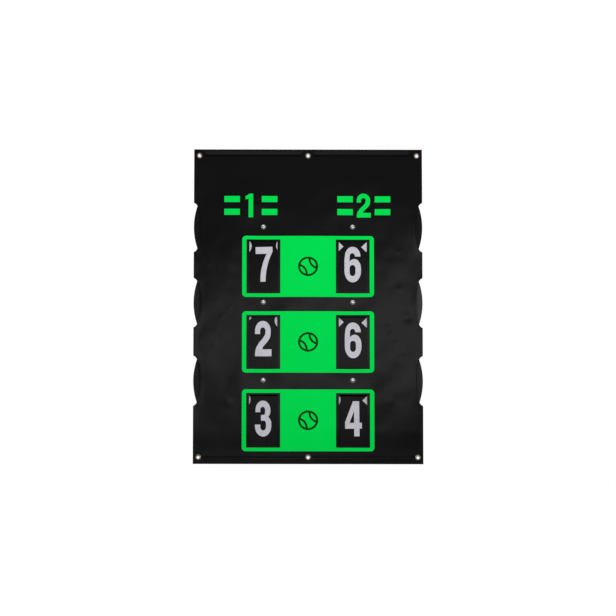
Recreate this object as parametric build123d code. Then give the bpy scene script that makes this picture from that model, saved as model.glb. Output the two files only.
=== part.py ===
"""Hanging tennis scoreboard: two black tarpaulin sheets with six number discs between them.

Frame: the origin is the centre of the four corner eyelets, on the front face of the
front sheet. +X is the viewer's right, +Y goes back through the board, +Z is up.
All sizes are in millimetres.
"""
import os
from math import sqrt, tan, radians

from build123d import *

# ---- Driving dimensions ------------------------------------------------------------
# Number discs and their pivots
DISC_DIAMETER = 362.0
DISC_THICKNESS = 0.8
DISC_GAP = 0.4              # free space in front of and behind every disc
PIVOT_SPACING = 232.0       # left pivot to right pivot
RIM_TO_NEXT_PIVOT = 24.0    # rim of a disc to the next row's pivot, rows evenly spaced
MIDDLE_ROW_LIFT = 3.0       # middle row sits this much nearer the top row
TOP_CLEARANCE = 3.0         # rim of a top disc to the flat of the top hem
BOTTOM_MARGIN = 40.0        # rim of a bottom disc to the bottom edge

# Sheets
SHEET_THICKNESS = 0.8
HEM_MARGIN = 1.0            # eyelet flange to the end of the flat hem
STEP_ANGLE = 60.0           # slope of the back sheet's step, from the plane of the board
BEND_RADIUS = 1.5           # back sheet's bends, on the face towards the discs
SCOOP_CHORD = 135.0         # opening of a thumb scoop along the side edge
SCOOP_DEPTH = 30.0
TAB_CORNER_RADIUS = 4.0

# Windows and the green panels around them
WINDOW_WIDTH = 73.0
WINDOW_DROP = 38.0          # pivot to the top edge of its window
WINDOW_COVER = 3.7          # disc still covers the window's lower corners by this much
WINDOW_CORNER_RADIUS = 1.0
PANEL_THICKNESS = 0.4
REVEAL_SIDE = 7.5           # sheet left bare between the panel and a window's side
REVEAL_END = 4.5            # the same above and below a window
PANEL_SIDE_BORDER = 11.0
PANEL_END_BORDER = 9.5
PANEL_CORNER_RADIUS = 10.0

# Pivot hardware: a domed barrel post from the front, a screw from the back
POST_DIAMETER = 6.0
RUNNING_CLEARANCE = 0.05    # radial, post in disc
FIXED_CLEARANCE = 0.1       # radial, post or eyelet in a sheet, spacer on its post
AXIAL_PLAY = 0.1            # disc to the spacer on each side
SPACER_DIAMETER = 12.0
HEAD_DIAMETER = 13.0
DOME_HEIGHT = 2.6
DOME_EDGE = 0.6
POST_END_SETBACK = 0.2      # barrel stops short so that the screw can clamp
TAPPED_DEPTH = 7.0
SCREW_DIAMETER = 3.9
THREAD_CLEARANCE = 0.05
SCREW_LENGTH = 6.0
PAN_HEIGHT = 1.8
PAN_EDGE_RADIUS = 0.8
SLOT_WIDTH = 1.2
SLOT_DEPTH = 0.8

# Eyelets
EYELET_HOLE_DIAMETER = 8.0
EYELET_WALL = 0.5
EYELET_FLANGE_DIAMETER = 15.0
EYELET_SIDE_INSET = 14.0
EYELET_EDGE_INSET = 17.5
EYELET_DOME = 1.3
EYELET_RIM = 0.3
CURL_DIAMETER = 12.0
CURL_HEIGHT = 0.8
WASHER_THICKNESS = 0.8
WASHER_CHAMFER = 0.3

# ---- Derived places ----------------------------------------------------------------
ROWS = ("top", "middle", "bottom")
SIDES = ("left", "right")

disc_radius = DISC_DIAMETER / 2
row_pitch = disc_radius + RIM_TO_NEXT_PIVOT
flange_radius = EYELET_FLANGE_DIAMETER / 2
hem_flat = EYELET_EDGE_INSET + flange_radius + HEM_MARGIN
board_width = PIVOT_SPACING + DISC_DIAMETER
board_height = (hem_flat + TOP_CLEARANCE + disc_radius + (len(ROWS) - 1) * row_pitch
                + disc_radius + BOTTOM_MARGIN)
half_width = board_width / 2
half_height = board_height / 2
top_pivot_z = half_height - hem_flat - TOP_CLEARANCE - disc_radius

level_pitch = DISC_THICKNESS + DISC_GAP
level_count = len(ROWS) * len(SIDES)
pocket_depth = DISC_GAP + level_count * level_pitch
back_front_y = SHEET_THICKNESS + pocket_depth
back_rear_y = back_front_y + SHEET_THICKNESS
hem_rear_y = 3 * SHEET_THICKNESS
bend_length = BEND_RADIUS * tan(radians(STEP_ANGLE / 2))

window_bottom = sqrt(disc_radius ** 2 - (WINDOW_WIDTH / 2) ** 2) - WINDOW_COVER
window_height = window_bottom - WINDOW_DROP
window_centre_drop = (WINDOW_DROP + window_bottom) / 2
cutout_width = WINDOW_WIDTH + 2 * REVEAL_SIDE
cutout_height = window_height + 2 * REVEAL_END
panel_width = PIVOT_SPACING + cutout_width + 2 * PANEL_SIDE_BORDER
panel_height = cutout_height + 2 * PANEL_END_BORDER
scoop_radius = ((SCOOP_CHORD / 2) ** 2 + SCOOP_DEPTH ** 2) / (2 * SCOOP_DEPTH)


def pivot_x(side):
    """X of the pivots on one side of the board."""
    return PIVOT_SPACING / 2 * (-1 if side == "left" else 1)


def pivot_z(row):
    """Z of the pivots in one row."""
    lift = MIDDLE_ROW_LIFT if row == "middle" else 0
    return top_pivot_z - ROWS.index(row) * row_pitch + lift


def disc_front_y(row, side):
    """Front face of a disc: the rows lie behind one another, left before right."""
    level = ROWS.index(row) * len(SIDES) + SIDES.index(side)
    return SHEET_THICKNESS + DISC_GAP + level * level_pitch


PIVOTS = [(row, side) for row in ROWS for side in SIDES]
EYELETS = [(x, z) for z in (half_height - EYELET_EDGE_INSET, EYELET_EDGE_INSET - half_height)
           for x in (EYELET_SIDE_INSET - half_width, 0, half_width - EYELET_SIDE_INSET)]


# ---- Helpers -----------------------------------------------------------------------
def slab(sketch, front_y, thickness):
    """A sketch in X and Z made solid, from front_y back along +Y."""
    return Pos(0, front_y, 0) * extrude(Plane.XZ * sketch, amount=-thickness)


def through_holes(places, radius):
    """Cylinders along Y that pass the whole board, to be cut from it."""
    margin = 5
    rounds = Sketch() + [Pos(x, z) * Circle(radius) for x, z in places]
    return slab(rounds, -margin, back_rear_y + 2 * margin)


def turned(outline):
    """Solid of revolution about the Y axis of a closed outline in radius and Y."""
    return revolve(make_face(outline), axis=Axis.Y)


def at_pivot(shape, row, side):
    """Shape modelled on the Y axis, moved to a pivot."""
    return Pos(pivot_x(side), 0, pivot_z(row)) * shape


# ---- Sheets ------------------------------------------------------------------------
def board_outline():
    """Front view of a sheet: full rectangle with three thumb scoops in each side."""
    outline = Rectangle(board_width, board_height)
    for row in ROWS:
        for sign in (-1, 1):
            centre_x = sign * (half_width - SCOOP_DEPTH + scoop_radius)
            outline -= Pos(centre_x, pivot_z(row)) * Circle(scoop_radius)
    scoop_ends = [v for v in outline.vertices() if abs(v.Y) < half_height - 1]
    return fillet(scoop_ends, TAB_CORNER_RADIUS)


def below_pivots(outline):
    """Six copies of an outline, each about the centre of a window."""
    return Sketch() + [Pos(pivot_x(side), pivot_z(row) - window_centre_drop) * outline
                       for row, side in PIVOTS]


def sheet_holes():
    """Holes for the pivot posts and the eyelet barrels, as cutting solids."""
    posts = [(pivot_x(side), pivot_z(row)) for row, side in PIVOTS]
    barrel_radius = EYELET_HOLE_DIAMETER / 2 + EYELET_WALL
    return (through_holes(posts, POST_DIAMETER / 2 + FIXED_CLEARANCE)
            + through_holes(EYELETS, barrel_radius + FIXED_CLEARANCE))


def hem_fold():
    """Top hem: the sheet turned over the back sheet's edge, with its ply behind it."""
    fold_z = half_height - hem_rear_y / 2
    ring = Circle(hem_rear_y / 2) - Circle(SHEET_THICKNESS / 2)
    half_ring = ring & Pos(0, hem_rear_y / 2) * Rectangle(2 * hem_rear_y, hem_rear_y)
    ply_length = fold_z - (half_height - hem_flat + bend_length)
    ply = Pos(SHEET_THICKNESS, -ply_length / 2) * Rectangle(SHEET_THICKNESS, ply_length)
    section = Pos(hem_rear_y / 2, fold_z) * (half_ring + ply)
    return extrude(Plane.YZ * section, amount=half_width, both=True)


def front_sheet():
    """Front tarpaulin: flat, with windows and scoops, hemmed at the top and bottom."""
    flat_height = board_height - hem_rear_y
    windows = below_pivots(RectangleRounded(WINDOW_WIDTH, window_height, WINDOW_CORNER_RADIUS))
    flat_outline = board_outline() & Rectangle(board_width, flat_height)
    flat = slab(flat_outline - windows, 0, SHEET_THICKNESS)
    top_hem = hem_fold()
    return flat + top_hem + mirror(top_hem, about=Plane.XY) - sheet_holes()


def back_sheet():
    """Back tarpaulin: its edges lie in the hems, the rest stands off behind the discs."""
    edge_z = half_height - hem_rear_y / 2
    step_z = half_height - hem_flat
    run = pocket_depth / tan(radians(STEP_ANGLE))
    upper = [(SHEET_THICKNESS, edge_z), (SHEET_THICKNESS, step_z), (back_front_y, step_z - run)]
    lower = [(y, -z) for y, z in reversed(upper)]
    inner_face = FilletPolyline(*upper, *lower, radius=BEND_RADIUS).wire()
    section = make_face(inner_face.offset_2d(SHEET_THICKNESS, side=Side.LEFT, closed=True))
    bent = extrude(Plane.YZ * section, amount=half_width, both=True)
    return (bent & slab(board_outline(), 0, back_rear_y)) - sheet_holes()


def score_panel(row):
    """Green panel on the front sheet, with a cut-out around both windows of a row."""
    cutouts = below_pivots(RectangleRounded(cutout_width, cutout_height, WINDOW_CORNER_RADIUS))
    centre = Pos(0, pivot_z(row) - window_centre_drop)
    outline = centre * RectangleRounded(panel_width, panel_height, PANEL_CORNER_RADIUS)
    return slab(outline - cutouts, -PANEL_THICKNESS, PANEL_THICKNESS)


# ---- Discs and pivots --------------------------------------------------------------
def number_disc(row, side):
    """Flat disc that turns on its post, with its rim level with the board's side edge."""
    bore = Circle(POST_DIAMETER / 2 + RUNNING_CLEARANCE)
    disc = slab(Circle(disc_radius) - bore, disc_front_y(row, side), DISC_THICKNESS)
    return at_pivot(disc, row, side)


def spacer(row, side, front_y, rear_y):
    """Plain tube on a post, between a sheet and a disc."""
    ring = Circle(SPACER_DIAMETER / 2) - Circle(POST_DIAMETER / 2 + FIXED_CLEARANCE)
    return at_pivot(slab(ring, front_y, rear_y - front_y), row, side)


def front_spacer(row, side):
    """Tube from the front sheet to the disc."""
    return spacer(row, side, SHEET_THICKNESS, disc_front_y(row, side) - AXIAL_PLAY)


def rear_spacer(row, side):
    """Tube from the disc to the back sheet."""
    disc_rear_y = disc_front_y(row, side) + DISC_THICKNESS
    return spacer(row, side, disc_rear_y + AXIAL_PLAY, back_front_y)


def pivot_post(row, side):
    """Barrel nut with a domed head in front, blind and tapped from the back."""
    radius = POST_DIAMETER / 2
    end_y = back_rear_y - POST_END_SETBACK
    bore_radius = SCREW_DIAMETER / 2 + THREAD_CLEARANCE
    bottom_y = end_y - TAPPED_DEPTH
    rim = (HEAD_DIAMETER / 2, -DOME_EDGE)
    dome = TangentArc((0, -DOME_HEIGHT), rim, tangent=(1, 0))
    sides = Polyline(rim, (HEAD_DIAMETER / 2, 0), (radius, 0), (radius, end_y),
                     (bore_radius, end_y), (bore_radius, bottom_y), (0, bottom_y),
                     (0, -DOME_HEIGHT))
    return at_pivot(turned(dome + sides), row, side)


def pivot_screw(row, side):
    """Slotted pan-head screw from the back into the post."""
    head_radius = HEAD_DIAMETER / 2
    head_y = back_rear_y + PAN_HEIGHT
    tip_y = back_rear_y - SCREW_LENGTH
    outline = Polyline((0, tip_y), (SCREW_DIAMETER / 2, tip_y), (SCREW_DIAMETER / 2, back_rear_y),
                       (head_radius, back_rear_y), (head_radius, head_y), (0, head_y), close=True)
    screw = turned(outline)
    head_edge = screw.edges().filter_by(GeomType.CIRCLE).sort_by(Axis.Y)[-1]
    screw = fillet(head_edge, PAN_EDGE_RADIUS)
    slot = Pos(0, head_y, 0) * Box(HEAD_DIAMETER, 2 * SLOT_DEPTH, SLOT_WIDTH)
    return at_pivot(screw - slot, row, side)


# ---- Eyelets -----------------------------------------------------------------------
def eyelet():
    """Brass eyelet: domed flange in front, barrel through the hem, curled over behind."""
    hole = EYELET_HOLE_DIAMETER / 2
    barrel = hole + EYELET_WALL
    seat_y = hem_rear_y + WASHER_THICKNESS
    crown = (hole + flange_radius) / 2
    curl = CURL_DIAMETER / 2
    throat, rim = (hole, -EYELET_WALL), (flange_radius, -EYELET_RIM)
    lip = (hole, seat_y + EYELET_RIM)
    flange = ThreePointArc(throat, (crown - EYELET_WALL, -EYELET_DOME), rim)
    outside = Polyline(rim, (flange_radius, 0), (barrel, 0), (barrel, seat_y), (curl, seat_y))
    rolled = ThreePointArc((curl, seat_y), ((hole + curl) / 2, seat_y + CURL_HEIGHT), lip)
    return turned(flange + outside + rolled + Line(lip, throat))


def eyelet_washer():
    """Flat ring behind the hem, under the eyelet's curl."""
    ring = (Circle(flange_radius)
            - Circle(EYELET_HOLE_DIAMETER / 2 + EYELET_WALL + FIXED_CLEARANCE))
    washer = slab(ring, hem_rear_y, WASHER_THICKNESS)
    outer_edge = washer.edges().filter_by(GeomType.CIRCLE).group_by(Axis.Y)[-1].sort_by(
        lambda edge: edge.radius)[-1]
    return chamfer(outer_edge, WASHER_CHAMFER)


def at_eyelets(shape):
    """One separate copy of a shape at each of the six eyelets."""
    return Compound([Pos(x, 0, z) * shape for x, z in EYELETS])


# ---- All nodes ---------------------------------------------------------------------
def build_nodes():
    """Every separate piece by node name."""
    nodes = {
        "front_sheet": front_sheet(),
        "back_sheet": back_sheet(),
        "eyelets": at_eyelets(eyelet()),
        "eyelet_washers": at_eyelets(eyelet_washer()),
    }
    for row in ROWS:
        nodes[f"score_panel_{row}"] = score_panel(row)
    for row, side in PIVOTS:
        nodes[f"number_disc_{row}_{side}"] = number_disc(row, side)
        nodes[f"pivot_post_{row}_{side}"] = pivot_post(row, side)
        nodes[f"pivot_screw_{row}_{side}"] = pivot_screw(row, side)
        nodes[f"front_spacer_{row}_{side}"] = front_spacer(row, side)
        nodes[f"rear_spacer_{row}_{side}"] = rear_spacer(row, side)
    return nodes


os.makedirs("parts", exist_ok=True)
for name, shape in build_nodes().items():
    export_step(shape, f"parts/{name}.step")
print(f"board {board_width:.1f} x {board_height:.1f}, pocket {pocket_depth:.1f} deep")
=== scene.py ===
"""Looks of a hanging tennis scoreboard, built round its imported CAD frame.

Two black tarpaulins hang from six brass eyelets. Six number discs turn between them on
domed posts, and each shows one number through its window in the front sheet.
Frame: +X is the viewer's right, +Y goes back through the board, +Z is up. Sizes below
are in millimetres, and those of the meshes and the studio in metres.
"""

import logging
from collections.abc import Callable, Sequence
from dataclasses import dataclass
from enum import Enum
from functools import lru_cache
from math import cos, pi, radians, sin

import bpy
import numpy as np
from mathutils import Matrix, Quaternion, Vector


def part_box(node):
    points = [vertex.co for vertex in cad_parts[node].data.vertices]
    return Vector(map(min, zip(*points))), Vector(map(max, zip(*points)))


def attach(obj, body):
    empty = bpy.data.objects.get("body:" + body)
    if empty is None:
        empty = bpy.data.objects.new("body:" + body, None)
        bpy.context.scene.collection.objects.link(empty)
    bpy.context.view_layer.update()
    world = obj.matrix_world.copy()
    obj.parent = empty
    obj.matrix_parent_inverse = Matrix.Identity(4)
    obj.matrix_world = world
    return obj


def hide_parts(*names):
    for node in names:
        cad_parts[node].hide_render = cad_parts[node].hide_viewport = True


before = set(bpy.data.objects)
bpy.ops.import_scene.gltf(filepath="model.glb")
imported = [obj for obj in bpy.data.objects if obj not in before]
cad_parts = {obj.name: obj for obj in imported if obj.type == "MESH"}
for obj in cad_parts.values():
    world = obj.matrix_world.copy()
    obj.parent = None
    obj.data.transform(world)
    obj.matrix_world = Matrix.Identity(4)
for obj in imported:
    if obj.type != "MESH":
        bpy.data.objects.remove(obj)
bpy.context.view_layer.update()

log = logging.getLogger("scoreboard")

Array = np.ndarray
Loop = np.ndarray
Distance = Callable[[Array, Array], Array]
Point = tuple[float, float]
Triple = tuple[float, float, float]
Socket = bpy.types.NodeSocket

METRE = 0.001  # one millimetre in metres
FINE = 0.9  # spacing of grid lines under a sign
MARGIN = 1.0  # how far those reach past the sign
SHARP = 40.0  # edges that turn by more degrees than this stay crisp
CLOTH_MAP = "Cloth"


# ---- Shapes worked out with numpy ----


def smooth(t: Array) -> Array:
    """Ramp of t: 0 below 0, 1 above 1, and 3t^2 - 2t^3 between."""
    t = np.clip(t, 0.0, 1.0)
    return t * t * (3.0 - 2.0 * t)


def merged(*parts: Array) -> Array:
    """Grid lines of several runs, in order and each once."""
    return np.unique(np.concatenate(parts).round(6))


def lines(start: float, *runs: Point) -> Array:
    """Space grid lines evenly along runs, each from where the last one ends.

    Args:
        start: the first line.
        runs: the end and the widest spacing of each run.

    Returns:
        The lines' places, each run's ends among them.
    """
    starts = (start, *(end for end, _ in runs))
    return merged(*(np.linspace(a, b, max(1, round((b - a) / step)) + 1)
                    for a, (b, step) in zip(starts, runs)))


def mirrored(half: Array) -> Array:
    """Grid lines on both sides of zero from those on its positive side."""
    return merged(-half, half)


def box_distance(u: Array, v: Array, centre: Point, half: Point, corner: float = 0.0) -> Array:
    """Signed distance to a rectangle with round corners, negative inside.

    Formula: with q how far a point lies beyond the rectangle less its corner radius all
    round, it is the length of q's positive part, plus q's larger part where both are
    negative, less the radius.

    Args:
        u, v: the points' places.
        centre, half: the rectangle's middle, and half its width and height.
        corner: its corner radius.

    Returns:
        The distances.
    """
    qu = np.abs(u - centre[0]) - half[0] + corner
    qv = np.abs(v - centre[1]) - half[1] + corner
    outside = np.hypot(np.maximum(qu, 0.0), np.maximum(qv, 0.0))
    return outside + np.minimum(np.maximum(qu, qv), 0.0) - corner


def circle_distance(u: Array, v: Array, centre: Point, radius: float) -> Array:
    """Signed distance to a circle: a point's distance from its centre less its radius."""
    return np.hypot(u - centre[0], v - centre[1]) - radius


def pierced(distance: Array, u: Array, v: Array, centres: Sequence[Point],
            radius: float) -> Array:
    """Signed distance to an outline, less round holes: the greater of it and each hole's."""
    holes = (-circle_distance(u, v, centre, radius) for centre in centres)
    return np.maximum.reduce((distance, *holes))


def ellipse_distance(u: Array, v: Array, centre: Point, radii: Point) -> Array:
    """Signed distance to an ellipse, true close to it.

    Formula: with p and q the lengths of a point's place over the radii and over their
    squares, it is p (p - 1) / q, and near the centre (p - 1) times the lesser radius.

    Args:
        u, v: the points' places.
        centre, radii: of the ellipse.

    Returns:
        The distances.
    """
    du, dv = u - centre[0], v - centre[1]
    p = np.hypot(du / radii[0], dv / radii[1])
    q = np.hypot(du / radii[0] ** 2, dv / radii[1] ** 2)
    return np.where(p < 0.3, (p - 1) * min(radii), p * (p - 1) / np.maximum(q, 1e-9))


def loops_distance(u: Array, v: Array, loops: Sequence[Loop]) -> Array:
    """Signed distance to an outline of closed loops, negative inside.

    Formula: the least distance to any edge, negative where a ray from the point towards
    +u crosses an odd number of edges.

    Args:
        u, v: the points' places.
        loops: one row a corner in each.

    Returns:
        The distances.
    """
    points = np.stack((u.ravel(), v.ravel()), axis=1)[:, None, :]
    start = np.concatenate(loops)[None]
    end = np.concatenate([np.roll(loop, -1, axis=0) for loop in loops])[None]
    edge = end - start
    along = ((points - start) * edge).sum(2) / np.maximum((edge * edge).sum(2), 1e-12)
    nearest = start + np.clip(along, 0.0, 1.0)[..., None] * edge
    distance = np.linalg.norm(points - nearest, axis=2).min(1)
    spans = (start[..., 1] > points[..., 1]) != (end[..., 1] > points[..., 1])
    rise = np.where(np.abs(edge[..., 1]) < 1e-12, 1e-12, edge[..., 1])
    crossing = start[..., 0] + (points[..., 1] - start[..., 1]) * edge[..., 0] / rise
    inside = (spans & (crossing > points[..., 0])).sum(1) % 2 == 1
    return np.where(inside, -distance, distance).reshape(u.shape)


@dataclass(frozen=True)
class Cut:
    """A flat piece cut out along an outline: its points and the quads between them."""

    u: Array
    v: Array
    quads: Array


def cut_grid(us: Array, vs: Array, distance: Distance) -> Cut:
    """Cut a grid along an outline.

    Formula: a cell is kept where the distance at its middle is negative. A point between
    kept and dropped cells then moves against the distance's gradient by the distance,
    three times over, which puts it on the outline.

    Args:
        us, vs: grid lines across and up.
        distance: the outline's signed distance.

    Returns:
        The cut piece.
    """
    u, v = np.meshgrid(us, vs, indexing="ij")
    kept = distance((u[:-1, :-1] + u[1:, 1:]) / 2, (v[:-1, :-1] + v[1:, 1:]) / 2) < 0
    padded = np.pad(kept, 1).astype(int)
    around = padded[:-1, :-1] + padded[1:, :-1] + padded[:-1, 1:] + padded[1:, 1:]
    border = (around > 0) & (around < 4)
    bu, bv, step = u[border], v[border], 0.02
    for _ in range(3):
        here = distance(bu, bv)
        du = (distance(bu + step, bv) - distance(bu - step, bv)) / (2 * step)
        dv = (distance(bu, bv + step) - distance(bu, bv - step)) / (2 * step)
        steep = np.maximum(du * du + dv * dv, 0.5)
        bu, bv = bu - here * du / steep, bv - here * dv / steep
    u[border], v[border] = bu, bv
    number = np.arange(u.size).reshape(u.shape)
    corners = (number[:-1, :-1], number[1:, :-1], number[1:, 1:], number[:-1, 1:])
    quads = np.stack([corner[kept] for corner in corners], axis=1)
    used, quads = np.unique(quads, return_inverse=True)
    return Cut(u.ravel()[used], v.ravel()[used], quads.reshape(-1, 4))


def thickened(points: Array, quads: Array, thickness: float) -> tuple[Array, Array]:
    """Give a surface its thickness, half on each side, and close its rims.

    Formula: both faces are the surface moved along its points' normals, the sums of those
    of the quads round them. A wall joins them along every edge that only one quad has.

    Args:
        points: the middle surface's points, one row each.
        quads: its faces, counter-clockwise as seen from the front.
        thickness: in the points' unit.

    Returns:
        The points and quads of the closed shell.
    """
    a, b, c, d = (points[quads[:, i]] for i in range(4))
    normals = np.zeros_like(points)
    facing = np.cross(c - a, d - b)
    for i in range(4):
        np.add.at(normals, quads[:, i], facing)
    normals /= np.maximum(np.linalg.norm(normals, axis=1, keepdims=True), 1e-12)
    count = len(points)
    edges = np.stack((quads, np.roll(quads, -1, axis=1)), axis=2).reshape(-1, 2)
    key, back_key = edges[:, 0] * count + edges[:, 1], edges[:, 1] * count + edges[:, 0]
    rim = edges[~np.isin(key, back_key)]
    walls = np.stack((rim[:, 1], rim[:, 0], rim[:, 0] + count, rim[:, 1] + count), axis=1)
    shell = np.concatenate((points + normals * thickness / 2, points - normals * thickness / 2))
    return shell, np.concatenate((quads, quads[:, ::-1] + count, walls))


def put(name: str, data: bpy.types.ID) -> bpy.types.Object:
    """Put data into the scene as a new object at the origin.

    Args:
        name: the object's name.
        data: a mesh, curve, light or camera.

    Returns:
        The object.
    """
    made = bpy.data.objects.new(name, data)
    bpy.context.scene.collection.objects.link(made)
    return made


def mesh_object(name: str, points: Array, faces: Array,
                uv: Array | None = None) -> bpy.types.Object:
    """Put arrays into the scene as a new object.

    Args:
        name: the object's name.
        points: one row a point, in millimetres.
        faces: one row a face, all with the same number of corners.
        uv: one row a point, in metres of the flat cloth, for a pattern that follows it.

    Returns:
        The object.
    """
    mesh = bpy.data.meshes.new(name)
    corners = faces.ravel().astype(np.int32)
    mesh.vertices.add(len(points))
    mesh.vertices.foreach_set("co", (points * METRE).astype(np.float32).ravel())
    mesh.loops.add(len(corners))
    mesh.loops.foreach_set("vertex_index", corners)
    mesh.polygons.add(len(faces))
    mesh.polygons.foreach_set("loop_start", np.arange(0, len(corners), faces.shape[1]))
    mesh.update(calc_edges=True)
    if uv is not None:
        layer = mesh.uv_layers.new(name=CLOTH_MAP)
        layer.uv.foreach_set("vector", uv[corners].astype(np.float32).ravel())
    mesh.validate()
    mesh.shade_smooth()
    mesh.set_sharp_from_angle(angle=radians(SHARP))
    log.info("%s: %d points, %d faces", name, len(points), len(faces))
    return put(name, mesh)


# ---- Numerals ----


ARC_POINTS, BEND_POINTS, CURVE_STEPS = 17, 13, 5


def arc(centre: Point, radii: Point, start: float, end: float) -> Array:
    """Points on an ellipse: its centre plus its radii times the cosine and sine of an
    angle that runs evenly from start to end degrees."""
    angle = np.radians(np.linspace(start, end, ARC_POINTS))
    return np.stack((np.cos(angle), np.sin(angle)), axis=1) * radii + centre


def bend(*points: Point) -> Array:
    """Points on a cubic Bezier curve.

    Formula: with t from 0 to 1, it is the sum of four points weighted by (1 - t)^3,
    3 (1 - t)^2 t, 3 (1 - t) t^2 and t^3.

    Args:
        points: the four.

    Returns:
        The curve's points, one row each.
    """
    t = np.linspace(0, 1, BEND_POINTS)[:, None]
    p, q, r, s = np.array(points, float)
    return ((1 - t) ** 3 * p + 3 * (1 - t) ** 2 * t * q + 3 * (1 - t) * t ** 2 * r
            + t ** 3 * s)


def through(*points: Point) -> Array:
    """Smooth curve through points, in a few steps from one to the next.

    Formula: a Catmull-Rom spline. Between points b and c, with a before and d after them,
    it is b + (c - a) t/2 + (2a - 5b + 4c - d) t^2/2 + (3b - a - 3c + d) t^3/2.

    Args:
        points: what the curve goes through, in order.

    Returns:
        The curve's points, one row each.
    """
    p = np.array((points[0], *points, points[-1]), float)[:, None, :]
    a, b, c, d = p[:-3], p[1:-2], p[2:-1], p[3:]
    t = np.linspace(0, 1, CURVE_STEPS, endpoint=False)[None, :, None]
    curve = (b + (c - a) * t / 2 + (2 * a - 5 * b + 4 * c - d) * t ** 2 / 2
             + (3 * b - a - 3 * c + d) * t ** 3 / 2)
    return np.concatenate((curve.reshape(-1, 2), p[-1]))


def corner(*points: Point) -> Array:
    """Plain corners of an outline."""
    return np.array(points, float)


def joined(*parts: Array) -> Loop:
    """One closed loop from parts that follow one another, without double points."""
    loop = np.concatenate(parts)
    return loop[np.linalg.norm(loop - np.roll(loop, 1, axis=0), axis=1) > 1e-3]


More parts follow.
